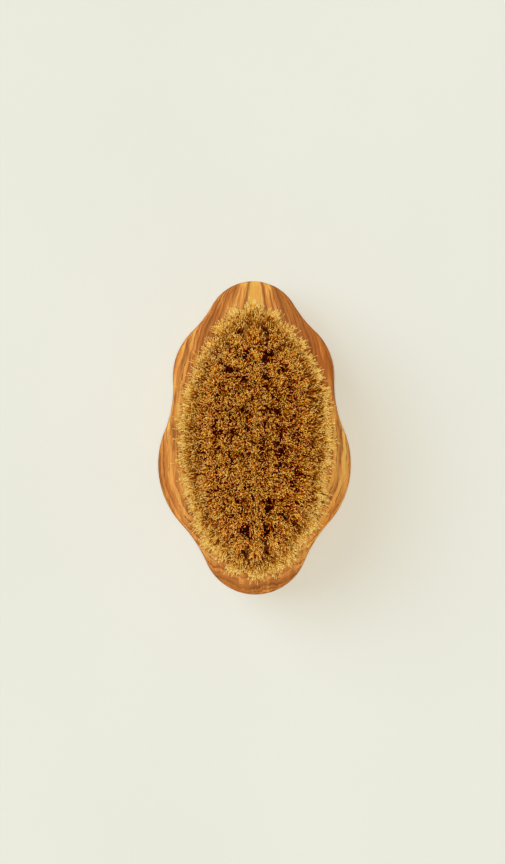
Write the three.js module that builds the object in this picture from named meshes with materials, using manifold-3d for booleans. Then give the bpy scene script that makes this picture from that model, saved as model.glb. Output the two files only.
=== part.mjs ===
// Body brush: a lobed palm block of olive wood, filled with tufts of stiff natural bristle.
// Millimetres. +Y runs to the narrow end, +Z to the bristle tips, and the flat back rests on Z = 0.

import * as THREE from 'three';
import { mergeVertices } from 'three/addons/utils/BufferGeometryUtils.js';
import Module from 'manifold-3d';

// The block: six lobes, counter-clockwise from the bottom, each joined to the next by a hollow waist.
const LOBES = [
  { x: 0, y: -43, radius: 22, waist: 55 },
  { x: 3.5, y: -11, radius: 36.5, waist: 48 },
  { x: 7.5, y: 25.5, radius: 26, waist: 48 },
  { x: 0, y: 45.5, radius: 19.5, waist: 48 },
  { x: -7.5, y: 25.5, radius: 26, waist: 48 },
  { x: -3.5, y: -11, radius: 36.5, waist: 55 },
];
const BLOCK_THICKNESS = 22;
const FRONT_ROUND = 2.5;
const FRONT_ROUND_STEPS = 3;
const BACK_ROLL_IN = 10;
const BACK_ROLL_RISE = 12;
const BACK_ROLL_STEPS = 6;
const ARC_STEPS = 8;

// The field of tufts: a row on the long axis, and four pointed ovals around it.
const FIELD_Y = -2;
const ROW_COUNT = 7;
const ROW_HALF_LENGTH = 18;
const RING_COUNT = 4;
const RING_HALF_WIDTH = 23.6;
const RING_HALF_LENGTH = 48;
const INNER_EXPONENT = 2.4;
const OUTER_EXPONENT_UPPER = 2.0;
const OUTER_EXPONENT_LOWER = 1.8;
const RING_TILT_DEGREES = [2, 4, 7, 11];
const TUFTS_PER_BUNDLE = 3;

// One tuft and its hole. The root clears the wall and the floor of the hole.
const CLEARANCE = 0.3;
const HOLE_RADIUS = 1.9;
const HOLE_DEPTH = 9;
const BRISTLE_LENGTH = 22;
const TIP_RADIUS = 2.6;
const CROWN = 1.2;
const SIDES = 8;

// Neighbouring tufts of a bundle mingle a little below their tips.
const MINGLE_BELOW_TIP = 3.5;
const MINGLE_RADIUS = 1.1;

// The flat steel strip that the bristles are folded over, with its ends bitten into the wood.
const ANCHOR_LENGTH = 5;
const ANCHOR_WIDTH = 1.6;
const ANCHOR_THICKNESS = 0.4;
const ANCHOR_ABOVE_FLOOR = 2.4;

const oliveWood = new THREE.MeshStandardMaterial({ color: 0xc98a44, roughness: 0.5, metalness: 0 });
const bristle = new THREE.MeshStandardMaterial({ color: 0xc49a4e, roughness: 0.75, metalness: 0 });
const steel = new THREE.MeshStandardMaterial({ color: 0xa9abad, roughness: 0.4, metalness: 1 });

const wasm = await Module();
wasm.setup();

// A closed geometry as a solid that can be joined and cut.
function solid(geometry) {
  const bare = new THREE.BufferGeometry();
  bare.setAttribute('position', geometry.attributes.position);
  bare.setIndex(geometry.index);
  const merged = mergeVertices(bare, 1e-4);
  const index = merged.index.array;
  const triVerts = [];
  for (let i = 0; i < index.length; i += 3) {
    const [a, b, c] = index.slice(i, i + 3);
    if (a !== b && b !== c && c !== a) triVerts.push(a, b, c);
  }
  const shell = new wasm.Mesh({
    numProp: 3,
    vertProperties: Float32Array.from(merged.attributes.position.array),
    triVerts: Uint32Array.from(triVerts),
  });
  return new wasm.Manifold(shell);
}

// A solid back as a geometry.
function geometryOf(body) {
  const mesh = body.getMesh();
  const geometry = new THREE.BufferGeometry();
  geometry.setAttribute('position', new THREE.BufferAttribute(mesh.vertProperties, 3));
  geometry.setIndex(new THREE.BufferAttribute(mesh.triVerts, 1));
  geometry.computeVertexNormals();
  return geometry;
}

// The centre of the waist arc that touches two lobes from outside, to the right of the way from a to b.
function waistCentre(a, b) {
  const toA = a.radius + a.waist;
  const toB = b.radius + a.waist;
  const gap = Math.hypot(b.x - a.x, b.y - a.y);
  const along = (toA * toA - toB * toB + gap * gap) / (2 * gap);
  const aside = Math.sqrt(toA * toA - along * along);
  const ux = (b.x - a.x) / gap;
  const uy = (b.y - a.y) / gap;
  return { x: a.x + ux * along + uy * aside, y: a.y + uy * along - ux * aside };
}

function bearing(from, to) {
  return Math.atan2(to.y - from.y, to.x - from.x);
}

// The points of one arc without its last one, which is the first of the next arc.
function arcPoints(centre, radius, start, end, clockwise) {
  const arc = new THREE.EllipseCurve(centre.x, centre.y, radius, radius, start, end, clockwise);
  return arc.getPoints(ARC_STEPS).slice(0, -1);
}

// The outline of the block, drawn in from its widest by an inset.
function blockOutline(inset) {
  const count = LOBES.length;
  const waists = LOBES.map((lobe, i) => waistCentre(lobe, LOBES[(i + 1) % count]));
  const points = LOBES.flatMap((lobe, i) => {
    const before = waists[(i + count - 1) % count];
    const after = waists[i];
    const next = LOBES[(i + 1) % count];
    return [
      ...arcPoints(lobe, lobe.radius - inset, bearing(lobe, before), bearing(lobe, after), false),
      ...arcPoints(after, lobe.waist + inset, bearing(after, lobe), bearing(after, next), true),
    ];
  });
  return points;
}

// The side of the block from the back up: a wide roll for the palm, an upright band, a small round-over.
function sideProfile() {
  const roll = Array.from({ length: BACK_ROLL_STEPS + 1 }, (_, i) => {
    const turn = ((Math.PI / 2) * i) / BACK_ROLL_STEPS;
    return { inset: BACK_ROLL_IN * (1 - Math.sin(turn)), z: BACK_ROLL_RISE * (1 - Math.cos(turn)) };
  });
  const round = Array.from({ length: FRONT_ROUND_STEPS + 1 }, (_, i) => {
    const turn = ((Math.PI / 2) * i) / FRONT_ROUND_STEPS;
    const drop = FRONT_ROUND * (1 - Math.sin(turn));
    return { inset: FRONT_ROUND * (1 - Math.cos(turn)), z: BLOCK_THICKNESS - drop };
  });
  return [...roll, ...round];
}

// The block before drilling: the outline carried up its side profile, closed by a flat back and front.
function blankBlock() {
  const levels = sideProfile();
  const loops = levels.map(({ inset }) => blockOutline(inset));
  const around = loops[0].length;
  const position = loops.flatMap((loop, level) => loop.flatMap(({ x, y }) => [x, y, levels[level].z]));
  const last = around * (loops.length - 1);
  const index = [];
  for (let level = 0; level < last; level += around) {
    for (let i = 0; i < around; i += 1) {
      const a = level + i;
      const b = level + ((i + 1) % around);
      index.push(a, b, b + around, a, b + around, a + around);
    }
  }
  for (const [a, b, c] of THREE.ShapeUtils.triangulateShape(loops[0], [])) index.push(a, c, b);
  for (const [a, b, c] of THREE.ShapeUtils.triangulateShape(loops[loops.length - 1], [])) {
    index.push(last + a, last + b, last + c);
  }
  const blank = new THREE.BufferGeometry();
  blank.setAttribute('position', new THREE.Float32BufferAttribute(position, 3));
  blank.setIndex(index);
  return blank;
}

// The right side of a pointed oval, from its lower apex to its upper apex.
function ovalSide(halfWidth, halfLength, lower, upper) {
  const steps = 1440;
  return Array.from({ length: steps + 1 }, (_, i) => {
    const turn = (Math.PI * i) / steps;
    const across = Math.sin(turn);
    const up = -Math.cos(turn);
    const exponent = up < 0 ? lower : upper;
    const x = halfWidth * Math.abs(across) ** (2 / exponent);
    const y = halfLength * Math.sign(up) * Math.abs(up) ** (2 / exponent);
    return new THREE.Vector2(x, FIELD_Y + y);
  });
}

// Evenly spaced stations along a side, each with the outward direction there.
function stations(side, count) {
  const lengths = [0];
  side.slice(1).forEach((point, i) => lengths.push(lengths[i] + point.distanceTo(side[i])));
  const total = lengths[side.length - 1];
  return Array.from({ length: count + 1 }, (_, n) => {
    const i = Math.min(lengths.findIndex((length) => length >= (total * n) / count - 1e-9), side.length - 1);
    const ahead = side[Math.min(i + 1, side.length - 1)];
    const behind = side[Math.max(i - 1, 0)];
    const tangent = ahead.clone().sub(behind).normalize();
    const apex = n === 0 || n === count;
    const outward = apex ? new THREE.Vector2(0, n === 0 ? -1 : 1) : new THREE.Vector2(tangent.y, -tangent.x);
    return { root: side[i], outward };
  });
}

// A tuft's place: its root on the front face, and its direction, tilted outward.
function tuftPlace(root, outward, tiltDegrees) {
  const tilt = THREE.MathUtils.degToRad(tiltDegrees);
  const lean = outward.clone().multiplyScalar(Math.sin(tilt));
  return {
    root: new THREE.Vector3(root.x, root.y, BLOCK_THICKNESS),
    direction: new THREE.Vector3(lean.x, lean.y, Math.cos(tilt)),
  };
}

function rowPlaces() {
  const pitch = (2 * ROW_HALF_LENGTH) / (ROW_COUNT - 1);
  return Array.from({ length: ROW_COUNT }, (_, i) => {
    const root = new THREE.Vector2(0, FIELD_Y - ROW_HALF_LENGTH + pitch * i);
    return tuftPlace(root, new THREE.Vector2(0, 1), 0);
  });
}

// The tufts of one oval, counter-clockwise from its lower apex. Each oval has six more than the last.
function ringPlaces(ring) {
  const half = 6 + 3 * ring;
  const outerness = (ring - 1) / (RING_COUNT - 1);
  const side = ovalSide(
    (RING_HALF_WIDTH * ring) / RING_COUNT,
    THREE.MathUtils.lerp(ROW_HALF_LENGTH, RING_HALF_LENGTH, ring / RING_COUNT),
    THREE.MathUtils.lerp(INNER_EXPONENT, OUTER_EXPONENT_LOWER, outerness),
    THREE.MathUtils.lerp(INNER_EXPONENT, OUTER_EXPONENT_UPPER, outerness),
  );
  const right = stations(side, half);
  const left = right.slice(1, -1).reverse().map(({ root, outward }) => ({
    root: new THREE.Vector2(-root.x, root.y),
    outward: new THREE.Vector2(-outward.x, outward.y),
  }));
  const tilt = RING_TILT_DEGREES[ring - 1];
  return [...right, ...left].map(({ root, outward }) => tuftPlace(root, outward, tilt));
}

// Stands a geometry made along +Y on a place, along the place's direction.
function stand(geometry, place) {
  const turn = new THREE.Quaternion().setFromUnitVectors(new THREE.Vector3(0, 1, 0), place.direction);
  return geometry.applyQuaternion(turn).translate(place.root.x, place.root.y, place.root.z);
}

// The blind hole, run on past the face so that a tilted one is open all round.
function holeCutter(place) {
  const above = 3;
  const cutter = new THREE.CylinderGeometry(HOLE_RADIUS, HOLE_RADIUS, HOLE_DEPTH + above, SIDES);
  return solid(stand(cutter.translate(0, (above - HOLE_DEPTH) / 2, 0), place));
}

// A tuft: tight in its hole, flaring from the face to the tips, with a slightly crowned end.
function tuftSolid(place) {
  const root = HOLE_RADIUS - CLEARANCE;
  const profile = [
    new THREE.Vector2(0, CLEARANCE - HOLE_DEPTH),
    new THREE.Vector2(root, CLEARANCE - HOLE_DEPTH),
    new THREE.Vector2(root, 0),
    new THREE.Vector2(TIP_RADIUS, BRISTLE_LENGTH - CROWN),
    new THREE.Vector2(0, BRISTLE_LENGTH),
  ];
  return solid(stand(new THREE.LatheGeometry(profile, SIDES), place));
}

// The strands that cross between two neighbouring tufts just below their tips.
function mingledStrands(a, b) {
  const reach = BRISTLE_LENGTH - MINGLE_BELOW_TIP;
  const from = a.root.clone().addScaledVector(a.direction, reach);
  const to = b.root.clone().addScaledVector(b.direction, reach);
  const span = from.distanceTo(to);
  const strands = new THREE.CylinderGeometry(MINGLE_RADIUS, MINGLE_RADIUS, span, 6);
  const root = from.clone().lerp(to, 0.5);
  const direction = to.clone().sub(from).normalize();
  return solid(stand(strands, { root, direction }));
}

// A box on a place's axis at the anchor's height, grown by a margin on every side.
function anchorBox(place, margin) {
  const box = new THREE.BoxGeometry(
    ANCHOR_LENGTH + 2 * margin,
    ANCHOR_WIDTH + 2 * margin,
    ANCHOR_THICKNESS + 2 * margin,
  );
  return stand(box.translate(0, ANCHOR_ABOVE_FLOOR - HOLE_DEPTH, 0), place);
}

function piece(name, geometry, material) {
  const mesh = new THREE.Mesh(geometry, material);
  mesh.name = name;
  return mesh;
}

// A mesh whose own origin is the root of a tuft.
function pieceAt(name, body, place, material) {
  const geometry = geometryOf(body).translate(-place.root.x, -place.root.y, -place.root.z);
  const mesh = piece(name, geometry, material);
  mesh.position.copy(place.root);
  return mesh;
}

const brush = new THREE.Group();
const row = rowPlaces();
const rings = Array.from({ length: RING_COUNT }, (_, i) => ringPlaces(i + 1));

// The drilled block. The holes of the axis row also have the two nicks that their anchors bite.
let block = solid(blankBlock());
for (const place of [...row, ...rings.flat()]) block = block.subtract(holeCutter(place));
for (const place of row) block = block.subtract(solid(anchorBox(place, CLEARANCE)));
brush.add(piece('brush_block', geometryOf(block), oliveWood));

// The axis row: each tuft is looped under its own anchor.
const axisRow = new THREE.Group();
row.forEach((place, i) => {
  const looped = tuftSolid(place).subtract(solid(anchorBox(place, CLEARANCE)));
  const anchor = solid(anchorBox(place, 0));
  axisRow.add(pieceAt(`tuft_row_${i + 1}`, looped, place, bristle));
  axisRow.add(pieceAt(`anchor_row_${i + 1}`, anchor, place, steel));
});
brush.add(axisRow);

// The ovals: bundles of neighbouring tufts, each bundle centred on every third tuft from the lower apex.
rings.forEach((places, r) => {
  const oval = new THREE.Group();
  const reach = (TUFTS_PER_BUNDLE - 1) / 2;
  for (let centre = 0; centre < places.length; centre += TUFTS_PER_BUNDLE) {
    let bundle = tuftSolid(places[centre]);
    for (let step = -reach; step < reach; step += 1) {
      const a = places[(centre + step + places.length) % places.length];
      const b = places[(centre + step + 1) % places.length];
      const outer = step < 0 ? a : b;
      bundle = bundle.add(tuftSolid(outer)).add(mingledStrands(a, b));
    }
    const number = centre / TUFTS_PER_BUNDLE + 1;
    oval.add(pieceAt(`tufts_oval_${r + 1}_${number}`, bundle, places[centre], bristle));
  }
  brush.add(oval);
});

export default brush;
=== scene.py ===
"""Looks of a palm body brush: a lobed olive wood block and its tufts of golden natural bristle."""

import math
from collections import namedtuple

import bmesh
import bpy
import numpy as np
from mathutils import Matrix, Vector


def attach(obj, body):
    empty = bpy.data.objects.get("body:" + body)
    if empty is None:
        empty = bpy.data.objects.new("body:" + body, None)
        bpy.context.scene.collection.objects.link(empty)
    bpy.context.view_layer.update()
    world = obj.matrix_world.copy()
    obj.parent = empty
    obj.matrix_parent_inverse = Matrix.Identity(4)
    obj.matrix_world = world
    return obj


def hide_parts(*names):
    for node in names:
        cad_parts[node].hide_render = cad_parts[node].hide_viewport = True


MM = 0.001
TINY = 1e-9
RNG = np.random.default_rng(11)

Lobe = namedtuple("Lobe", "x y radius waist")
Leaning = namedtuple("Leaning", "x y reach lean")
Parting = namedtuple("Parting", "x y size reach push")

# The block, in millimetres: lobes from the bottom, counter-clockwise, each with the waist that follows it.
LOBES = [
    Lobe(0, -43, 22, 55),
    Lobe(3.5, -11, 36.5, 48),
    Lobe(7.5, 25.5, 26, 48),
    Lobe(0, 45.5, 19.5, 48),
    Lobe(-7.5, 25.5, 26, 48),
    Lobe(-3.5, -11, 36.5, 55),
]
THICKNESS = 22
FRONT_ROUND = 2.5
ROUND_STEPS = 10
BACK_ROLL_IN = 10
BACK_ROLL_RISE = 12
ROLL_STEPS = 20
ARC_STEPS = 36
SHARP_ANGLE_DEGREES = 35

# The field of tufts: a row on the long axis and pointed ovals around it.
FIELD_Y = -2
ROW_COUNT = 7
ROW_HALF_LENGTH = 18
RING_COUNT = 4
RING_HALF_WIDTH = 23.6
RING_HALF_LENGTH = 48
RING_STEPS = 1440
INNER_EXPONENT = 2.4
OUTER_EXPONENT_UPPER = 2.0
OUTER_EXPONENT_LOWER = 1.8
RING_TILT_DEGREES = (2, 4, 7, 11)
HALF_RING_TUFTS = (9, 12, 15, 18)
TUFTS_PER_BUNDLE = 3

# The hole of a tuft, and the anchor in it.
HOLE_RADIUS = 1.9
HOLE_DEPTH = 9
HOLE_SIDES = 28
CUTTER_ABOVE = 3
ANCHOR_SIZE = (5, 0.4, 1.6)
ANCHOR_ABOVE_FLOOR = 2.4
ANCHOR_EDGE = 0.08
ANCHOR_EDGE_STEPS = 2

# One strand: heights above the wood, with its width and the upward turn of its shading at each.
STRAND_LEVELS = (-6.5, 0, 8, 14, 18, 21.8, 22)
STRAND_WIDTHS = (1, 1, 1, 1, 0.95, 0.85, 0.7)
STRAND_LIFTS = (0.2, 0.2, 0.2, 0.3, 0.45, 0.65, 1)
STRAND_RADIUS = 0.15
STRAND_RADIUS_RANGE = (0.75, 1.25)
STRAND_SIDES = 4
STRAND_CURL = 0.6
TIP_BEND = 0.45
TIP_BEND_FROM = 16
SPREAD_POWER = 1.05

# Every tuft: how its strands gather, stray and are trimmed.
TIP_HEIGHT = 44
FREE_LENGTH = TIP_HEIGHT - THICKNESS
ROOT_RADIUS = 1.55
TIP_DRIFT = (0.5, 0, 0)
CLUMPS = 60
CLUMP_PULL = 0.2
STRAYS = 0.12
STRAY_REACH = 1.2
USUAL_REACH = 0.2
TUFT_DOME = 0.9
TRIM = 1.5
TRIM_LIMIT = 6
LONGEST = 0.4

# Tufts inside the field: tip radii of the row and the three ovals, and wider ones at an oval's ends.
STRANDS = 285
APEX_STRANDS = 105
APEX_POWER = 3
TIP_RADII = (3.3, 3.3, 3.4, 3.85)
TIP_RADIUS_APEX = 4.8
TIP_RADIUS_ALONG = 3.5
SQUARENESS = 0.5
TUFT_LEAN = 0.2

# Tufts of the outer oval, which make the fringe. On the right they sweep towards the wide end.
FRINGE_STRANDS = 340
FRINGE_RADIUS = 2.5
FRINGE_RADIUS_ALONG = 4.1
FRINGE_SQUARENESS = 0.3
FRINGE_LEAN = (0.65, 0.4)
FRINGE_FLARE = 0.8
FRINGE_FILL = 2.5
FRINGE_SPIKES = 0.42
FRINGE_SPIKE_LENGTH = 1.3
FRINGE_SPIKE_LIMIT = 2.5
FRINGE_SWEEP = (0, -0.5, 0)
FRINGE_SWEEP_REACH = 1.6

# Places near the narrow end where the tufts lean as one.
LEANINGS = [
    Leaning(-16, 38, 11, (2.2, -1.2, 0)),
    Leaning(17, 42, 10, (-3.2, -1.6, 0)),
    Leaning(-6, 43, 5.5, (-1.4, 1.3, 0)),
    Leaning(6, 43, 5.5, (0.8, 0.8, 0)),
]

# Places where the tufts lean apart and the dark depth shows: x, y and how far the tips part.
PARTINGS = [
    (4.5, 44.5, 0.8), (6, 31.5, 1.2), (-10, 27.5, 1.0), (5, 21, 1.1), (-2, 21, 0.9), (-12.5, 17.5, 0.9),
    (-5, 11.5, 1.2), (7, 11.5, 1.0), (-14.5, 11, 0.7), (-15, 3, 1.0), (-8.5, 2.5, 1.0), (11.5, 3, 1.0),
    (10.5, -6, 1.2), (6, -5, 0.9), (-6, -6.5, 0.9), (-11.5, -20.5, 0.7), (5.5, -25.5, 1.2),
    (-4.5, -25.5, 0.9), (13, -27.5, 0.7), (6, -36, 1.1), (-4, -37, 1.3), (-13.5, -36, 0.7), (9, 39.5, 0.9),
    (-9, 24.5, 0.8), (-1, -24, 0.7), (-19, -25.5, 0.8), (-4, -34.5, 0.9), (16.5, -37.5, 0.8),
]
PARTING_REACH = 2.3
PARTING_PUSH = 0.55
PARTING_SHAPE = (0.7, 1.35)
SMALL_PARTING_CHANCE = 0.85
SMALL_PARTING_OUTWARDS = 3
SMALL_PARTING_SCATTER = 0.4
SMALL_PARTING_SIZE = (0.2, 0.65)
SMALL_PARTING_REACH = 2.0
SMALL_PARTING_PUSH = 0.22
POCKET_LIMIT = 1.6
POCKET_DEPTH = 1.0

# How pale a strand is: by its place in the tuft and the field, its clump, its length and by chance.
# Painted shade: strands are darker at a tuft's rim, on the right of the field, where shorter, and in
# pockets.
TUFT_PALENESS = 0.3
TUFT_RIM_SHADE = 0.23
TUFT_TONE_RANGE = 0.16
RIGHT_SHADE = 0.095
SIDE_PALENESS = 0.08
# Painted light: in the fringe, strands that reach outwards are paler, as lit from the side.
FRINGE_PALENESS = -0.08
FRINGE_INNER_PALENESS = 0.1
FRINGE_TONE_RANGE = 0.2
END_PALENESS = 0.08
END_FROM_MIDDLE = 40
CLUMP_VARIETY = 0.08
STRAND_VARIETY = 0.28
SHORT_SHADE = 0.15
POCKET_SHADE = 0.20
# Golden strands gather in a tuft's middle as painted light on its crown, and fewer lie in pockets as
# painted shade.
GOLDEN_REACH = 0.55
GOLDEN_FADE = 0.12
GOLDEN_POCKET_SHADE = 0.3

# The strands' map: its share for redder strands, where golden ones start, and its margins.
RED_SHARE = 0.48
GOLDEN_START = 0.52
COLUMN_START = 0.2
COLUMN_WIDTH = 0.6
MAP_HEIGHTS = (0.01, 0.99)

# Colours of the bristle: from root to tip, and by tone, first the redder strands and then the golden ones.
# Towards the root the colours darken as painted shade deep in the tufts.
BRISTLE_COLOURS_WITH_ROOT_SHADE = [
    (0.0, (0.12, 0.004, 0.000)), (0.5, (0.30, 0.022, 0.000)), (0.8, (0.47, 0.062, 0.001)),
    (0.95, (0.81, 0.335, 0.014)), (1.0, (0.99, 0.85, 0.35)),
]
BRISTLE_TONES = [
    (0.0, (0.05, 0.001, 0.001)), (0.17, (0.17, 0.016, 0.004)), (0.265, (0.78, 0.42, 0.10)),
    (0.385, (1.00, 0.76, 0.48)), (0.49, (1.02, 0.97, 1.0)),
    (0.51, (0.05, 0.003, 0.000)), (0.69, (0.18, 0.022, 0.000)), (0.785, (0.68, 0.45, 0.030)),
    (0.905, (0.87, 0.78, 0.24)), (1.0, (1.02, 1.10, 1.0)),
]
# A paler copy for the fringe: painted light on its outer strands, lit from the side, and darker to the root
# as painted shade.
LIT_FRINGE_COLOURS_WITH_ROOT_SHADE = [
    (0.0, (0.24, 0.035, 0.002)), (0.5, (0.52, 0.14, 0.009)), (0.8, (0.72, 0.30, 0.026)),
    (0.95, (0.80, 0.48, 0.072)), (1.0, (0.90, 0.77, 0.34)),
]
FRINGE_TONES = [
    (0.0, (0.10, 0.012, 0.001)), (0.25, (0.42, 0.16, 0.014)),
    (0.5, (0.88, 0.74, 0.41)), (1.0, (1.05, 1.09, 1.10)),
]
BRISTLE_ROUGHNESS = 0.6

# Growth lines of the wood: half ovals below the block's widest place, and lines that narrow above it.
HEART_X = 1.0
WIDEST_Y = -5.0
OVAL_HALF_WIDTH = 40.0
OVAL_LENGTH_BELOW = 46.0
OVAL_LENGTH_ABOVE = 76.0
OUT_PER_MM_OF_DROP = 0.0125
WANDER = 0.16
WIGGLE = 0.05
BANDS = 4.1
BAND_POWER = 1.35
BAND_START = 0.51
THIN_LINES_PER_BAND = 3.7
HEART_END = 1.0
THIN_LINES_START = 1.05

# Noise drawn out along the wood: its scale each way, its detail and its roughness.
WANDER_NOISE = ((0.10, 0.035, 0.10), 4.0, 0.55)
WIGGLE_NOISE = ((0.5, 0.16, 0.5), 3.0, 0.6)
STREAK_NOISE = ((0.35, 0.03, 0.35), 3.0, 0.55)
BREAK_NOISE = ((0.25, 0.07, 0.25), 3.0, 0.5)
FIBRE_NOISE = ((2.4, 0.10, 2.4), 4.0, 0.65)
NOISE_MIDDLE = 0.5

# How red the wood is: by band, by streak and by the distance out, and more so towards the narrow end.
BAND_TINT = 0.35
BAND_TINT_STEP = 0.382
BAND_TINT_START = 0.1
THIN_TINT = 0.55
THIN_TINT_STEP = 0.618
TINT_MIDDLE = 0.215
STREAK_REDNESS = 1.7
FARTHEST_OUT = 1.4
REDNESS_OUTWARDS = [
    (0.0, 0.05), (0.2, 0.10), (0.38, 0.30), (0.54, 0.42),
    (0.64, 0.16), (0.72, 0.13), (0.82, 0.55), (0.93, 0.65),
]
NARROW_END = (0.0, 30.0)
NARROW_END_REDNESS = (0.0, 0.47)
NARROW_END_REACH = 0.6
REDNESS_PER_MM_RIGHT = (-0.003, 0.0074)

# Colours of the wood, from pale to red, and of its lines.
WOOD_COLOURS = [
    (0.0, (0.83, 0.430, 0.072)), (0.25, (0.85, 0.410, 0.082)),
    (0.5, (0.71, 0.270, 0.050)), (0.8, (0.49, 0.160, 0.026)),
]
LINE_BREAKS = [(0.40, 0.25), (0.55, 1)]
BAND_LINE = [(0.0, 0.15), (0.06, 0), (0.75, 0.1), (0.9, 1), (0.96, 1), (1.0, 0.15)]
BAND_LINE_STRENGTH = 0.8
BAND_LINE_COLOUR = (0.25, 0.080, 0.013, 1)
THIN_LINE = [(0.0, 0), (0.58, 0), (0.70, 1), (0.86, 1), (0.97, 0)]
THIN_LINE_STRENGTH = 0.78
THIN_LINE_COLOUR = (0.27, 0.080, 0.012, 1)

# Tints over the wood: its right side, its fibres, painted shade between the tufts, and its front edge and
# sides.
RIGHT_SIDE = (20.0, 40.0)
RIGHT_TINTS = [(0.0, 1), (0.35, (1.0, 0.90, 0.80)), (0.65, (0.98, 0.92, 0.85)), (0.8, (1.0, 1.10, 1.25))]
FIBRE_TINTS = [(0.3, 0.80), (0.7, 1.14)]
FIBRE_ROUGHNESS = [(0.3, 0.72), (0.7, 0.60)]
FIBRE_RELIEF = 0.12
FIBRE_HEIGHT = 0.2
# Painted shade: the front face inside the field of tufts is darkened, as shade falls between the tufts.
PAINTED_SHADE_HALF_WIDTH = 25.0
PAINTED_SHADE_HALF_LENGTH = 50.0
PAINTED_SHADE_TINTS = [(0.6, (0.08, 0.035, 0.025)), (1.0, 1)]
SHADED_SHEEN = [(0.8, 0), (1.0, 0.1)]
# Painted highlight on the round-over of the front edge, and darker down the sides below it.
EDGE_TINT_DROP = (0.0, 10.0)
ROUND_OVER_HIGHLIGHT_AND_SIDE_TINTS = [(0.0, 1), (0.05, 1.15), (0.25, 1.15), (0.6, 0.78)]

# Drawn steel wire, and the floor, each with its noise.
DRAWN_NOISE = ((300, 9000, 9000), 3.0)
STEEL_COLOURS = [(0.3, 0.30), (0.7, 0.46)]
STEEL_ROUGHNESS = [(0.3, 0.28), (0.7, 0.45)]
FLOOR_SIZE_M = 24
FLOOR_NOISE = (6.0, 2.0)
FLOOR_COLOURS = [(0.3, (0.815, 0.80, 0.68)), (0.7, (0.835, 0.82, 0.70))]
FLOOR_ROUGHNESS = 0.9
FLOOR_SHEEN = 0.1

# The photograph's frame.
FRAME_HEIGHT_PX = 864
PX_PER_MM = 2.41
SENSOR_WIDTH = 36
CAMERA_DISTANCE = 800
CAMERA_TARGET = (-0.70, 2.45, 19.5)
CAMERA_ROLL_DEGREES = -0.55

# Light from all round, by the height it comes from: a pale horizon, and a dim room above it.
ROOM_COLOURS = [(0.02, (0.83, 0.81, 0.71)), (0.16, (0.16, 0.155, 0.144))]


# Shapes of the block

def waist_centre(a, b):
    """The centre of the hollow arc that touches two lobes from outside."""
    to_a, to_b = a.radius + a.waist, b.radius + a.waist
    gap = math.hypot(b.x - a.x, b.y - a.y)
    along = (to_a ** 2 - to_b ** 2 + gap ** 2) / (2 * gap)
    aside = math.sqrt(to_a ** 2 - along ** 2)
    ux, uy = (b.x - a.x) / gap, (b.y - a.y) / gap
    return a.x + ux * along + uy * aside, a.y + uy * along - ux * aside


def arc(centre, radius, start, sweep):
    """Points of an arc without its last one."""
    turns = start + sweep * np.arange(ARC_STEPS) / ARC_STEPS
    return np.column_stack([centre[0] + radius * np.cos(turns), centre[1] + radius * np.sin(turns)])


def bearing(a, b):
    return math.atan2(b[1] - a[1], b[0] - a[0])


def outline(inset):
    """The block's outline, moved inwards by an inset."""
    waists = [waist_centre(a, b) for a, b in zip(LOBES, LOBES[1:] + LOBES[:1])]
    runs = []
    for i, lobe in enumerate(LOBES):
        before, after, following = waists[i - 1], waists[i], LOBES[(i + 1) % len(LOBES)]
        start, end = bearing(lobe, before), bearing(lobe, after)
        runs.append(arc(lobe, lobe.radius - inset, start, (end - start) % math.tau))
        start, end = bearing(after, lobe), bearing(after, following)
        runs.append(arc(after, lobe.waist + inset, start, -((start - end) % math.tau)))
    return np.concatenate(runs)


def block_profile():
    """Inset and height of each level of the block, from the back to the front."""
    turns = np.linspace(0, math.pi / 2, ROLL_STEPS + 1)
    roll = np.column_stack([BACK_ROLL_IN * (1 - np.sin(turns)), BACK_ROLL_RISE * (1 - np.cos(turns))])
    turns = np.linspace(0, math.pi / 2, ROUND_STEPS + 1)
    fall = FRONT_ROUND * (1 - np.sin(turns))
    round_over = np.column_stack([FRONT_ROUND * (1 - np.cos(turns)), THICKNESS - fall])
    return np.concatenate([roll, round_over])


def new_object(name, mesh):
    piece = bpy.data.objects.new(name, mesh)
    bpy.context.collection.objects.link(piece)
    return piece


def lofted_block():
    """The block without its holes."""
    levels = []
    for inset, z in block_profile():
        edge = outline(inset)
        levels.append(np.column_stack([edge, np.full(len(edge), z)]))
    count = len(levels[0])
    verts = np.concatenate(levels) * MM
    faces = [tuple(range(count))[::-1]]
    for level in range(len(levels) - 1):
        low, high = level * count, (level + 1) * count
        for i in range(count):
            j = (i + 1) % count
            faces.append((low + i, low + j, high + j, high + i))
    faces.append(tuple(range(len(verts) - count, len(verts))))
    mesh = bpy.data.meshes.new("olive_wood_block")
    mesh.from_pydata(verts.tolist(), [], faces)
    return new_object("olive_wood_block", mesh)


# The field of tufts

def oval_side(half_width, half_length, lower, upper):
    """The right side of a pointed oval, from its lower apex to its upper apex."""
    turns = np.linspace(0, math.pi, RING_STEPS + 1)
    across, up = np.sin(turns), -np.cos(turns)
    exponent = np.where(up < 0, lower, upper)
    x = half_width * np.abs(across) ** (2 / exponent)
    y = half_length * np.sign(up) * np.abs(up) ** (2 / exponent)
    return np.column_stack([x, FIELD_Y + y])


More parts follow.
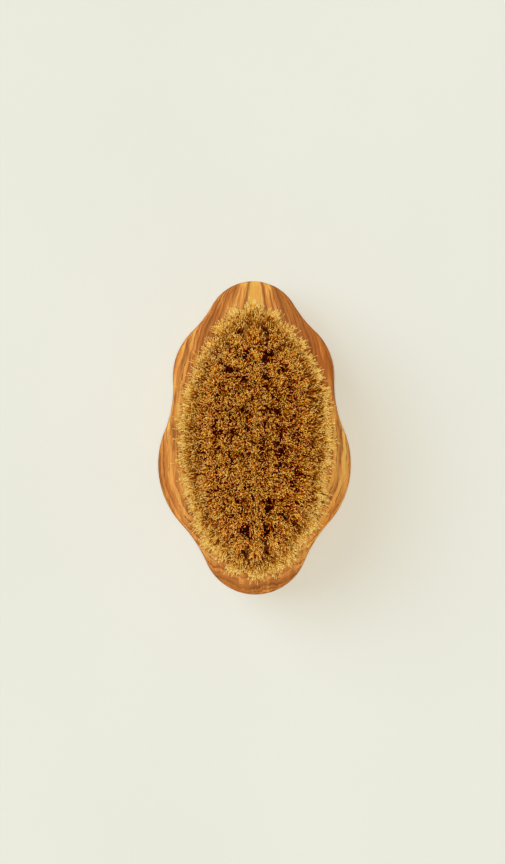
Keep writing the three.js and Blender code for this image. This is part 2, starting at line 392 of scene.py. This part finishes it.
def ring_places(ring):
    """Places of one oval's tufts, counter-clockwise from its lower apex."""
    outerness = (ring - 1) / (RING_COUNT - 1)
    side = oval_side(
        RING_HALF_WIDTH * ring / RING_COUNT,
        ROW_HALF_LENGTH + (RING_HALF_LENGTH - ROW_HALF_LENGTH) * ring / RING_COUNT,
        INNER_EXPONENT + (OUTER_EXPONENT_LOWER - INNER_EXPONENT) * outerness,
        INNER_EXPONENT + (OUTER_EXPONENT_UPPER - INNER_EXPONENT) * outerness,
    )
    half = HALF_RING_TUFTS[ring - 1]
    lengths = np.concatenate([[0], np.cumsum(np.linalg.norm(np.diff(side, axis=0), axis=1))])
    at = np.searchsorted(lengths, lengths[-1] * np.arange(half + 1) / half - TINY)
    ahead, behind = side[np.minimum(at + 1, len(side) - 1)], side[np.maximum(at - 1, 0)]
    tangent = (ahead - behind) / np.linalg.norm(ahead - behind, axis=1)[:, None]
    outward = np.column_stack([tangent[:, 1], -tangent[:, 0]])
    outward[0], outward[-1] = (0, -1), (0, 1)
    mirror = np.array([-1, 1])
    roots = np.concatenate([side[at], side[at][-2:0:-1] * mirror])
    outward = np.concatenate([outward, outward[-2:0:-1] * mirror])
    return [tuft_place(r, o, RING_TILT_DEGREES[ring - 1], ring) for r, o in zip(roots, outward)]


def row_places():
    heights = FIELD_Y + np.linspace(-ROW_HALF_LENGTH, ROW_HALF_LENGTH, ROW_COUNT)
    return [tuft_place((0, y), (0, 1), 0, 0) for y in heights]


def tuft_place(root, outward, tilt_degrees, ring):
    """A tuft's root, the way out of the field, the way it points, and its oval, which is 0 for the row."""
    tilt = math.radians(tilt_degrees)
    return {
        "root": np.array([root[0], root[1], THICKNESS], float),
        "outward": np.array([outward[0], outward[1], 0.0]),
        "direction": np.array([outward[0] * math.sin(tilt), outward[1] * math.sin(tilt), math.cos(tilt)]),
        "ring": ring,
    }


def stand(place):
    """A matrix that stands something made along +Z at the origin on a tuft's place, in metres."""
    turn = Vector((0, 0, 1)).rotation_difference(Vector(place["direction"]))
    return Matrix.Translation(Vector(place["root"]) * MM) @ turn.to_matrix().to_4x4()


def drill(block, places):
    """Cuts the blind holes."""
    cutter = bmesh.new()
    middle = Matrix.Translation((0, 0, (CUTTER_ABOVE - HOLE_DEPTH) / 2 * MM))
    for place in places:
        bmesh.ops.create_cone(
            cutter, cap_ends=True, segments=HOLE_SIDES, depth=(HOLE_DEPTH + CUTTER_ABOVE) * MM,
            radius1=HOLE_RADIUS * MM, radius2=HOLE_RADIUS * MM, matrix=stand(place) @ middle,
        )
    mesh = bpy.data.meshes.new("hole_cutter")
    cutter.to_mesh(mesh)
    cutter.free()
    tool = new_object("hole_cutter", mesh)
    cut = block.modifiers.new("holes", "BOOLEAN")
    cut.operation = "DIFFERENCE"
    cut.solver = "EXACT"
    cut.object = tool
    bpy.context.view_layer.update()
    drilled = bpy.data.meshes.new_from_object(block.evaluated_get(bpy.context.evaluated_depsgraph_get()))
    block.modifiers.clear()
    block.data = drilled
    drilled.name = block.name
    bpy.data.objects.remove(tool)
    drilled.shade_smooth()
    drilled.set_sharp_from_angle(angle=math.radians(SHARP_ANGLE_DEGREES))


# Where the tips of the bristles lie

def disc(count):
    """Random points spread evenly over a disc of radius 1."""
    reach = np.sqrt(RNG.random(count))
    turn = RNG.random(count) * math.tau
    return np.column_stack([reach * np.cos(turn), reach * np.sin(turn)])


def gather(spread, squareness):
    """Draws points of a disc towards a square and together into clumps, and tells each one's clump."""
    square = spread * (np.linalg.norm(spread, axis=1) / np.abs(spread).max(axis=1))[:, None]
    points = spread + (square - spread) * squareness
    centres = points[:CLUMPS]
    nearest = np.linalg.norm(points[:, None] - centres[None], axis=2).argmin(axis=1)
    return points * (1 - CLUMP_PULL) + centres[nearest] * CLUMP_PULL, nearest


def stray(count):
    """Sideways shifts of the tips: small ones, and large ones for a few strays."""
    shift = RNG.normal(0, 1, (count, 2))
    return shift * np.where(RNG.random((count, 1)) < STRAYS, STRAY_REACH, USUAL_REACH)


def patch(spread, axes, radii, squareness, lean):
    """Tips in a squarish patch, some astray, that lean as one, and the clump of each."""
    shift = stray(len(spread))
    points, clump = gather(spread, squareness)
    return (points * radii + shift + RNG.normal(0, lean, 2)) @ axes, clump


def apex_share(place):
    """1 for a tuft at either end of its oval, and falling to 0 at the sides."""
    return abs(place["outward"][1]) ** APEX_POWER


def inner_tips(place, spread, axes):
    """Tips of a tuft inside the field, and the clump of each."""
    across = TIP_RADII[place["ring"]]
    across += (TIP_RADIUS_APEX - across) * apex_share(place)
    return patch(spread, axes, (across, TIP_RADIUS_ALONG), SQUARENESS, TUFT_LEAN)


def fringe_tips(place, spread, axes):
    """Tips of a tuft of the outer oval, filled in behind and flaring into spikes, and the clump of each."""
    radii = (FRINGE_RADIUS, FRINGE_RADIUS_ALONG)
    tip, clump = patch(spread, axes, radii, FRINGE_SQUARENESS, FRINGE_LEAN)
    outwards = axes[0]
    in_front = np.clip(spread[:, :1], 0, None)
    behind = np.clip(-spread[:, :1], 0, None)
    spike = RNG.exponential(FRINGE_SPIKE_LENGTH, in_front.shape)
    spike = np.minimum(spike, FRINGE_SPIKE_LIMIT) * (RNG.random(in_front.shape) < FRINGE_SPIKES)
    sweep = np.array(FRINGE_SWEEP) * max(0, place["outward"][0])
    tip = tip + (FRINGE_FLARE * in_front ** 2 - FRINGE_FILL * behind) * outwards
    tip = tip + spike * (in_front > 0) * (outwards + sweep)
    return tip + FRINGE_SWEEP_REACH * in_front * sweep, clump


def leaning(root):
    """How far a tuft near the narrow end of the field leans."""
    lean = np.zeros(3)
    for place in LEANINGS:
        away = math.hypot(root[0] - place.x, root[1] - place.y)
        lean += np.array(place.lean) * math.exp(-(away / place.reach) ** 2)
    return lean


def small_partings(rings):
    """Chance partings where the tufts of two ovals meet."""
    made = []
    for places in rings[:-1]:
        for a, b in zip(places, places[1:] + places[:1]):
            outwards = SMALL_PARTING_OUTWARDS * (a["outward"] + b["outward"]) / 2
            middle = (a["root"] + b["root"]) / 2 + outwards + TIP_DRIFT
            middle = middle + RNG.normal(0, SMALL_PARTING_SCATTER, 3)
            if RNG.random() < SMALL_PARTING_CHANCE:
                size = RNG.uniform(*SMALL_PARTING_SIZE)
                made.append(Parting(middle[0], middle[1], size, SMALL_PARTING_REACH, SMALL_PARTING_PUSH))
    return made


def parted(tips, partings):
    """How far the partings push each tip aside, and how deep in a pocket it lies."""
    push, pocket = np.zeros_like(tips), np.zeros(len(tips))
    for parting in partings:
        away = (tips[:, :2] - (parting.x, parting.y)) * PARTING_SHAPE
        far = np.linalg.norm(away, axis=1, keepdims=True) + TINY
        near = parting.size * np.exp(-(far / parting.reach) ** 2)
        push[:, :2] += parting.push * near * away / far
        pocket += near[:, 0]
    return push, np.minimum(pocket, POCKET_LIMIT)


# Lines and tones of the bristles

def tuft_axes(place):
    """The ways outwards and along the oval, square to a tuft."""
    upwards = place["direction"]
    outwards = place["outward"] - upwards * (place["outward"] @ upwards)
    outwards /= np.linalg.norm(outwards)
    return np.stack([outwards, np.cross(upwards, outwards)])


def strand_count(place):
    """How many strands a tuft has: more at the ends of the inner ovals, and most in the fringe's tufts."""
    if place["ring"] == RING_COUNT:
        return FRINGE_STRANDS
    return STRANDS + int(APEX_STRANDS * apex_share(place) * (place["ring"] > 0))


def sideways(root, tip, axes):
    """How far aside a strand lies at each level: it spreads upwards, curls, and bends at its tip."""
    curl = RNG.normal(0, STRAND_CURL, (len(root), 2)) @ axes
    bend = RNG.normal(0, TIP_BEND, (len(root), 2)) @ axes
    reach = np.clip(np.array(STRAND_LEVELS) / FREE_LENGTH, 0, None)[None, :, None]
    hook = np.interp(STRAND_LEVELS, [TIP_BEND_FROM, STRAND_LEVELS[-1]], [0, 1])[None, :, None] ** 2
    spreading = root[:, None] + (tip - root)[:, None] * reach ** SPREAD_POWER
    return spreading + curl[:, None] * reach * (1 - reach) + bend[:, None] * hook


def strand_lines(place, partings):
    """Centre lines of a tuft's strands, by strand, level and xyz in millimetres, and the strands' tones."""
    upwards, axes = place["direction"], tuft_axes(place)
    spread = disc(strand_count(place))
    root = spread * ROOT_RADIUS @ axes
    tips_of = fringe_tips if place["ring"] == RING_COUNT else inner_tips
    tip, clump = tips_of(place, spread, axes)
    tip = tip + TIP_DRIFT + leaning(place["root"])
    push, pocket = parted(place["root"] + upwards * FREE_LENGTH / upwards[2] + tip, partings)
    aside = sideways(root, tip + push, axes)
    short = np.clip(RNG.exponential(TRIM, len(spread)), 0, TRIM_LIMIT)
    trim = LONGEST - short - TUFT_DOME * (spread ** 2).sum(axis=1) - POCKET_DEPTH * pocket
    length = (FREE_LENGTH + trim) / upwards[2]
    levels = np.array(STRAND_LEVELS) / FREE_LENGTH
    height = levels * np.where(levels > 0, length[:, None], FREE_LENGTH)
    lines = place["root"] + aside + height[..., None] * upwards
    return lines, strand_tones(place, spread, clump, short, pocket)


def soft_step(value):
    """Rises smoothly from 0 to 1, through a half where the value is 0."""
    return 1 / (1 + np.exp(-value))


def strand_tones(place, spread, clump, short, pocket):
    """Tones of a tuft's strands, dark to pale. Inside the field the upper half is for golden ones."""
    outer = place["ring"] == RING_COUNT
    from_middle = (spread ** 2).sum(axis=1)
    # Painted light on the outward strands of the fringe.
    if outer:
        least = FRINGE_INNER_PALENESS * (1 - max(0, place["outward"][0]))
        paleness = FRINGE_PALENESS + np.clip(spread[:, 0], least, None)
    else:
        across = place["root"][0] / RING_HALF_WIDTH
        # Painted shade at the tuft's rim and on the right of the field.
        paleness = TUFT_PALENESS - TUFT_RIM_SHADE * from_middle
        paleness = paleness - RIGHT_SHADE * across + SIDE_PALENESS * across ** 2
    chance = RNG.normal(0, CLUMP_VARIETY, CLUMPS)[clump] + RNG.normal(0, STRAND_VARIETY, len(spread))
    endwards = min(1, abs(place["root"][1] - FIELD_Y) / END_FROM_MIDDLE) ** 2
    # Painted shade on shorter strands and on those in pockets.
    paleness = paleness + chance + END_PALENESS * endwards - SHORT_SHADE * short - POCKET_SHADE * pocket
    tone = soft_step(paleness / (FRINGE_TONE_RANGE if outer else TUFT_TONE_RANGE))
    if outer:
        return tone
    # Golden strands in a tuft's middle: painted light on its crown; fewer in pockets: painted shade.
    golden_share = soft_step((GOLDEN_REACH - from_middle - GOLDEN_POCKET_SHADE * pocket) / GOLDEN_FADE)
    golden = RNG.random(len(spread)) < golden_share
    return RED_SHARE * tone + GOLDEN_START * golden


# Meshes of the bristles

def strand_rounds(lines):
    """Steps from a strand's centre line to the corners of its cross-section, at each level."""
    along = np.gradient(lines, axis=1)
    along /= np.linalg.norm(along, axis=2, keepdims=True)
    side = np.cross(along, [0.0, 1.0, 0.0])
    side /= np.linalg.norm(side, axis=2, keepdims=True)
    other = np.cross(along, side)
    taper = STRAND_RADIUS * np.array(STRAND_WIDTHS)
    size = taper[None, :, None] * RNG.uniform(*STRAND_RADIUS_RANGE, (len(lines), 1, 1))
    start = RNG.random((len(lines), 1, 1)) * math.tau
    turns = [start + math.tau * k / STRAND_SIDES for k in range(STRAND_SIDES)]
    return np.stack([size * (np.cos(turn) * side + np.sin(turn) * other) for turn in turns], axis=2)


def strand_faces(strands, levels):
    """Quads round every strand, and a cap at each of its ends."""
    first = np.arange(strands)[:, None, None] * levels * STRAND_SIDES
    low = first + np.arange(levels - 1)[None, :, None] * STRAND_SIDES
    high = low + STRAND_SIDES
    corner = np.arange(STRAND_SIDES)
    following = (corner + 1) % STRAND_SIDES
    quads = np.stack([low + corner, low + following, high + following, high + corner], axis=-1)
    tops = first[:, 0] + (levels - 1) * STRAND_SIDES + corner
    bottoms = first[:, 0] + corner[::-1]
    return quads.reshape(-1, 4).tolist() + tops.tolist() + bottoms.tolist()


def strand_mesh(name, places, partings):
    """A mesh of thin tapering strands. Its map holds a strand's tone across and its height upwards."""
    drawn = [strand_lines(place, partings) for place in places]
    lines = np.concatenate([line for line, _ in drawn])
    tones = np.concatenate([tone for _, tone in drawn])
    rounds = strand_rounds(lines)
    verts = (lines[:, :, None] + rounds).reshape(-1, 3) * MM
    mesh = bpy.data.meshes.new(name)
    mesh.from_pydata(verts.tolist(), [], strand_faces(*lines.shape[:2]))
    mesh.shade_smooth()
    lift_normals(mesh, rounds)
    tone_map(mesh, tones)
    return new_object(name, mesh)


def lift_normals(mesh, rounds):
    """Turns the shading of the strands upwards, as light that soaks through a translucent strand does."""
    lift = np.array(STRAND_LIFTS)[None, :, None, None]
    normals = rounds / np.linalg.norm(rounds, axis=3, keepdims=True)
    normals = normals * (1 - lift) + lift * np.array([0, 0, 1])
    normals /= np.linalg.norm(normals, axis=3, keepdims=True)
    mesh.normals_split_custom_set_from_vertices(normals.reshape(-1, 3).tolist())


def tone_map(mesh, tones):
    """Lays each strand on a narrow column of the map, at the place across that its tone gives."""
    strands, levels = len(tones), len(STRAND_LEVELS)
    column = tones * (strands - 1)
    vert = np.empty(len(mesh.loops), np.int32)
    mesh.loops.foreach_get("vertex_index", vert)
    strand = vert // (levels * STRAND_SIDES)
    level = vert // STRAND_SIDES % levels
    inside = COLUMN_START + COLUMN_WIDTH * (vert % STRAND_SIDES) / (STRAND_SIDES - 1)
    layer = mesh.uv_layers.new(name="OFBake")
    height = np.interp(STRAND_LEVELS, [STRAND_LEVELS[0], STRAND_LEVELS[-1]], MAP_HEIGHTS)
    uv = np.column_stack([(column[strand] + inside) / strands, height[level]])
    layer.data.foreach_set("uv", uv.astype(np.float32).ravel())


# Nodes

def new_material(name):
    material = bpy.data.materials.new(name)
    material.use_nodes = True
    tree = material.node_tree
    return material, tree, tree.nodes["Principled BSDF"]


def add(tree, kind, settings=None, **inputs):
    """A node with its settings. A socket, told by its name or by i and its number, is set or linked."""
    made = tree.nodes.new(kind)
    for key, value in (settings or {}).items():
        setattr(made, key, value)
    for key, value in inputs.items():
        numbered = key[0] == "i" and key[1:].isdigit()
        socket = made.inputs[int(key[1:]) if numbered else key]
        if isinstance(value, bpy.types.NodeSocket):
            tree.links.new(value, socket)
        else:
            socket.default_value = value
    return made


def math_node(tree, operation, a, b=0.0):
    return add(tree, "ShaderNodeMath", {"operation": operation}, i0=a, i1=b).outputs[0]


def plus(tree, total, *terms):
    for term in terms:
        total = math_node(tree, "ADD", total, term)
    return total


def minus(tree, a, b):
    return math_node(tree, "SUBTRACT", a, b)


def times(tree, a, b):
    return math_node(tree, "MULTIPLY", a, b)


def over(tree, a, b):
    return math_node(tree, "DIVIDE", a, b)


def sum_of_squares(tree, a, b):
    return plus(tree, times(tree, a, a), times(tree, b, b))


def map_range(tree, value, span, results=(0.0, 1.0)):
    made = add(tree, "ShaderNodeMapRange", i0=value, i1=span[0], i2=span[1], i3=results[0], i4=results[1])
    return made.outputs[0]


def ramp(tree, factor, stops):
    """A colour ramp. A stop is a place and a colour, or a number for a grey."""
    made = add(tree, "ShaderNodeValToRGB", Fac=factor)
    elements = made.color_ramp.elements
    while len(elements) < len(stops):
        elements.new(0.5)
    for element, (place, colour) in zip(elements, stops):
        element.position = place
        element.color = (*colour, 1) if isinstance(colour, tuple) else (colour, colour, colour, 1)
    return made.outputs["Color"]


def mix(tree, factor, a, b, blend="MIX"):
    settings = {"data_type": "RGBA", "blend_type": blend, "clamp_result": True}
    return add(tree, "ShaderNodeMix", settings, i0=factor, i6=a, i7=b).outputs[2]


def noise(tree, vector, scale, detail, rough=0.5):
    made = add(tree, "ShaderNodeTexNoise", Vector=vector, Scale=scale, Detail=detail, Roughness=rough)
    return made.outputs["Fac"]


def stretched_noise(tree, place, stretch, detail, rough=0.5):
    stretched = add(tree, "ShaderNodeMapping", Vector=place, Scale=stretch).outputs[0]
    return noise(tree, stretched, 1.0, detail, rough)


# Materials

def growth_distance(tree, mm, x, y, drop):
    """How far out from the heart of the wood a growth line lies, which wanders a little."""
    from_widest = minus(tree, y, WIDEST_Y)
    below = over(tree, math_node(tree, "MINIMUM", from_widest, 0.0), OVAL_LENGTH_BELOW)
    above = over(tree, math_node(tree, "MAXIMUM", from_widest, 0.0), OVAL_LENGTH_ABOVE)
    narrowing = math_node(tree, "SQRT", minus(tree, 1.0, times(tree, above, above)))
    across = over(tree, minus(tree, x, HEART_X), times(tree, narrowing, OVAL_HALF_WIDTH))
    oval = math_node(tree, "SQRT", sum_of_squares(tree, across, below))
    wander = minus(tree, stretched_noise(tree, mm, *WANDER_NOISE), NOISE_MIDDLE)
    wiggle = minus(tree, stretched_noise(tree, mm, *WIGGLE_NOISE), NOISE_MIDDLE)
    out = plus(tree, oval, times(tree, drop, OUT_PER_MM_OF_DROP))
    out = plus(tree, out, times(tree, wander, WANDER), times(tree, wiggle, WIGGLE))
    return math_node(tree, "MAXIMUM", out, 0.0)


def redness(tree, mm, x, y, far, phase):
    """How red the wood is: a pale heart, redder wood further out, and a tint of its own for each band."""
    band = math_node(tree, "FLOOR", phase)
    tint = math_node(tree, "FRACT", plus(tree, times(tree, band, BAND_TINT_STEP), BAND_TINT_START))
    thin_band = math_node(tree, "FLOOR", times(tree, phase, THIN_LINES_PER_BAND))
    thin_tint = math_node(tree, "FRACT", times(tree, thin_band, THIN_TINT_STEP))
    tint = plus(tree, times(tree, tint, BAND_TINT), times(tree, thin_tint, THIN_TINT))
    outwards = ramp(tree, over(tree, far, FARTHEST_OUT), REDNESS_OUTWARDS)
    rightwards = times(tree, x, map_range(tree, y, NARROW_END, REDNESS_PER_MM_RIGHT))
    upwards = map_range(tree, y, NARROW_END, NARROW_END_REDNESS)
    upwards = times(tree, upwards, math_node(tree, "MINIMUM", far, NARROW_END_REACH))
    streak = minus(tree, stretched_noise(tree, mm, *STREAK_NOISE), NOISE_MIDDLE)
    trend = plus(tree, outwards, rightwards, upwards, times(tree, streak, STREAK_REDNESS))
    return plus(tree, minus(tree, tint, TINT_MIDDLE), trend)


def growth_lines(tree, mm, phase, base):
    """The dark line that closes a band, and thinner lines between, all broken here and there."""
    strength = ramp(tree, stretched_noise(tree, mm, *BREAK_NOISE), LINE_BREAKS)
    strength = math_node(tree, "MAXIMUM", strength, math_node(tree, "LESS_THAN", phase, HEART_END))
    closing = ramp(tree, math_node(tree, "FRACT", phase), BAND_LINE)
    closing = times(tree, closing, times(tree, strength, BAND_LINE_STRENGTH))
    lined = mix(tree, closing, base, BAND_LINE_COLOUR)
    thin = ramp(tree, math_node(tree, "FRACT", times(tree, phase, THIN_LINES_PER_BAND)), THIN_LINE)
    thin = times(tree, thin, math_node(tree, "GREATER_THAN", phase, THIN_LINES_START))
    thin = times(tree, thin, times(tree, strength, THIN_LINE_STRENGTH))
    return mix(tree, thin, lined, THIN_LINE_COLOUR)


def olive_wood():
    """Growth lines that run along the block and close in half ovals round its wide end."""
    material, tree, shader = new_material("olive_wood")
    place = add(tree, "ShaderNodeTexCoord").outputs["Object"]
    mm = add(tree, "ShaderNodeVectorMath", {"operation": "SCALE"}, i0=place, Scale=1 / MM).outputs[0]
    x, y, z = add(tree, "ShaderNodeSeparateXYZ", Vector=mm).outputs
    drop = minus(tree, THICKNESS, z)
    far = growth_distance(tree, mm, x, y, drop)
    phase = plus(tree, times(tree, math_node(tree, "POWER", far, BAND_POWER), BANDS), BAND_START)
    fibre = stretched_noise(tree, mm, *FIBRE_NOISE)
    field_x = over(tree, x, PAINTED_SHADE_HALF_WIDTH)
    field_y = over(tree, minus(tree, y, FIELD_Y), PAINTED_SHADE_HALF_LENGTH)
    field = plus(tree, sum_of_squares(tree, field_x, field_y), drop)
    colour = ramp(tree, redness(tree, mm, x, y, far, phase), WOOD_COLOURS)
    colour = growth_lines(tree, mm, phase, colour)
    tints = [
        ramp(tree, map_range(tree, x, RIGHT_SIDE), RIGHT_TINTS),
        ramp(tree, fibre, FIBRE_TINTS),
        # painted shade on the wood between the tufts
        ramp(tree, field, PAINTED_SHADE_TINTS),
        # painted highlight on the round-over, darker down the sides
        ramp(tree, map_range(tree, drop, EDGE_TINT_DROP), ROUND_OVER_HIGHLIGHT_AND_SIDE_TINTS),
    ]
    for tint in tints:
        colour = mix(tree, 1.0, colour, tint, "MULTIPLY")
    bump = add(tree, "ShaderNodeBump", Height=fibre, Strength=FIBRE_RELIEF, Distance=FIBRE_HEIGHT * MM)
    tree.links.new(colour, shader.inputs["Base Color"])
    tree.links.new(ramp(tree, fibre, FIBRE_ROUGHNESS), shader.inputs["Roughness"])
    # No sheen inside the painted shade between the tufts.
    tree.links.new(ramp(tree, field, SHADED_SHEEN), shader.inputs["Specular IOR Level"])
    tree.links.new(bump.outputs[0], shader.inputs["Normal"])
    return material


def natural_bristle(name, along_stops, tone_stops):
    """Strands coloured from root to tip, darker to the root as painted shade, each with a tone of its own.
    """
    material, tree, shader = new_material(name)
    tone_place = add(tree, "ShaderNodeUVMap", {"uv_map": "OFBake"}).outputs[0]
    tone, height, _ = add(tree, "ShaderNodeSeparateXYZ", Vector=tone_place).outputs
    # The colour along a strand darkens to its root: painted shade.
    along = ramp(tree, height, along_stops)
    strand = ramp(tree, tone, tone_stops)
    tree.links.new(mix(tree, 1.0, along, strand, "MULTIPLY"), shader.inputs["Base Color"])
    shader.inputs["Roughness"].default_value = BRISTLE_ROUGHNESS
    shader.inputs["Specular IOR Level"].default_value = 0.0
    return material


def anchor_steel():
    """Wire with fine lines from being drawn."""
    material, tree, shader = new_material("anchor_steel")
    place = add(tree, "ShaderNodeTexCoord").outputs["Object"]
    lines = stretched_noise(tree, place, *DRAWN_NOISE)
    tree.links.new(ramp(tree, lines, STEEL_COLOURS), shader.inputs["Base Color"])
    tree.links.new(ramp(tree, lines, STEEL_ROUGHNESS), shader.inputs["Roughness"])
    shader.inputs["Metallic"].default_value = 1.0
    return material


def pale_floor():
    """Smooth pale paper with a faint change of tone."""
    material, tree, shader = new_material("pale_floor")
    place = add(tree, "ShaderNodeTexCoord").outputs["Object"]
    faint = noise(tree, place, *FLOOR_NOISE)
    tree.links.new(ramp(tree, faint, FLOOR_COLOURS), shader.inputs["Base Color"])
    shader.inputs["Roughness"].default_value = FLOOR_ROUGHNESS
    shader.inputs["Specular IOR Level"].default_value = FLOOR_SHEEN
    return material


# Pieces

def paint(piece, material):
    piece.data.materials.clear()
    piece.data.materials.append(material)


def keep(piece, material, slot, *nodes):
    paint(piece, material)
    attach(piece, "root")
    if nodes:
        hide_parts(*nodes)


def anchor_strips(places):
    """The flat wire strips of the oval tufts, deep in their holes, as one piece."""
    strips = bmesh.new()
    at = Matrix.Translation((0, 0, (ANCHOR_ABOVE_FLOOR - HOLE_DEPTH) * MM))
    size = Matrix.Diagonal((*(side * MM for side in ANCHOR_SIZE), 1))
    for place in places:
        bmesh.ops.create_cube(strips, size=1, matrix=stand(place) @ at @ size)
    edges = strips.edges[:]
    bmesh.ops.bevel(strips, geom=edges, offset=ANCHOR_EDGE * MM, segments=ANCHOR_EDGE_STEPS, affect="EDGES")
    mesh = bpy.data.meshes.new("oval_anchors")
    strips.to_mesh(mesh)
    strips.free()
    return new_object("oval_anchors", mesh)


def dress_brush(nodes):
    """Replaces the block and the tufts, paints the axis anchors and adds those of the ovals."""
    wood, steel = olive_wood(), anchor_steel()
    hair = natural_bristle("natural_bristle", BRISTLE_COLOURS_WITH_ROOT_SHADE, BRISTLE_TONES)
    # The fringe's bristle is a paler copy, painted light on the lit outer strands.
    fringe = natural_bristle("natural_bristle_lit_fringe", LIT_FRINGE_COLOURS_WITH_ROOT_SHADE, FRINGE_TONES)
    row = row_places()
    rings = [ring_places(ring) for ring in range(1, RING_COUNT + 1)]
    oval_places = [place for places in rings for place in places]
    partings = [Parting(*place, PARTING_REACH, PARTING_PUSH) for place in PARTINGS] + small_partings(rings)
    block = lofted_block()
    drill(block, row + oval_places)
    keep(block, wood, "olive_wood", "brush_block")
    for number, place in enumerate(row, 1):
        piece = strand_mesh(f"bristles_row_{number}", [place], partings)
        keep(piece, hair, "bristle", f"tuft_row_{number}")
        paint(nodes[f"anchor_row_{number}"], steel)
    for ring, places in enumerate(rings, 1):
        strands = fringe if ring == RING_COUNT else hair
        for bundle in range(len(places) // TUFTS_PER_BUNDLE):
            middle = bundle * TUFTS_PER_BUNDLE
            trio = [places[(middle + step) % len(places)] for step in (-1, 0, 1)]
            piece = strand_mesh(f"bristles_oval_{ring}_{bundle + 1}", trio, partings)
            keep(piece, strands, "bristle", f"tufts_oval_{ring}_{bundle + 1}")
    keep(anchor_strips(oval_places), steel, "anchor_steel")


# Floor, light and camera

def set_stage():
    bpy.ops.mesh.primitive_plane_add(size=FLOOR_SIZE_M)
    floor = bpy.context.object
    floor.name = "floor"
    floor.data.materials.append(pale_floor())


def sun(name, towards, strength, softness_degrees, colour):
    """A broad soft light from far away, in the direction given."""
    light = bpy.data.lights.new(name, "SUN")
    light.energy = strength
    light.angle = math.radians(softness_degrees)
    light.color = colour
    made = bpy.data.objects.new(name, light)
    made.rotation_euler = Vector(towards).to_track_quat("Z", "Y").to_euler()
    bpy.context.collection.objects.link(made)


def set_light():
    sun("overhead", towards=(0.0, 0.01, 1.0), strength=2.13, softness_degrees=10, colour=(1.0, 0.97, 0.93))
    sun(
        "from the left", towards=(-0.68, 0.36, 0.643), strength=1.33, softness_degrees=50,
        colour=(0.575, 0.74, 1.0),
    )
    world = bpy.data.worlds.new("studio")
    world.use_nodes = True
    tree = world.node_tree
    towards = add(tree, "ShaderNodeTexCoord").outputs["Generated"]
    height = add(tree, "ShaderNodeSeparateXYZ", Vector=towards).outputs["Z"]
    tree.links.new(ramp(tree, height, ROOM_COLOURS), tree.nodes["Background"].inputs["Color"])
    bpy.context.scene.world = world


def set_camera():
    data = bpy.data.cameras.new("camera")
    data.sensor_width = SENSOR_WIDTH
    data.lens = SENSOR_WIDTH * CAMERA_DISTANCE * PX_PER_MM / FRAME_HEIGHT_PX
    camera = bpy.data.objects.new("camera", data)
    camera.location = (Vector(CAMERA_TARGET) + Vector((0, 0, CAMERA_DISTANCE))) * MM
    camera.rotation_euler = (0, 0, math.radians(CAMERA_ROLL_DEGREES))
    bpy.context.collection.objects.link(camera)
    bpy.context.scene.camera = camera


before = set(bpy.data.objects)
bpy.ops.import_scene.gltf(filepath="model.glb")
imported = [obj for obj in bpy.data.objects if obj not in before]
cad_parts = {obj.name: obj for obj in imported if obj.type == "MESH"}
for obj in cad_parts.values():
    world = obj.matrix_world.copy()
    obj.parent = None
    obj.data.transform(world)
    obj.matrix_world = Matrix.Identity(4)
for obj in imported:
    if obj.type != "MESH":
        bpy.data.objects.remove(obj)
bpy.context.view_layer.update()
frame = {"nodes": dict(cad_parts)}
bpy.context.scene.view_settings.view_transform = "Standard"
set_camera()
dress_brush(frame["nodes"])
set_stage()
set_light()
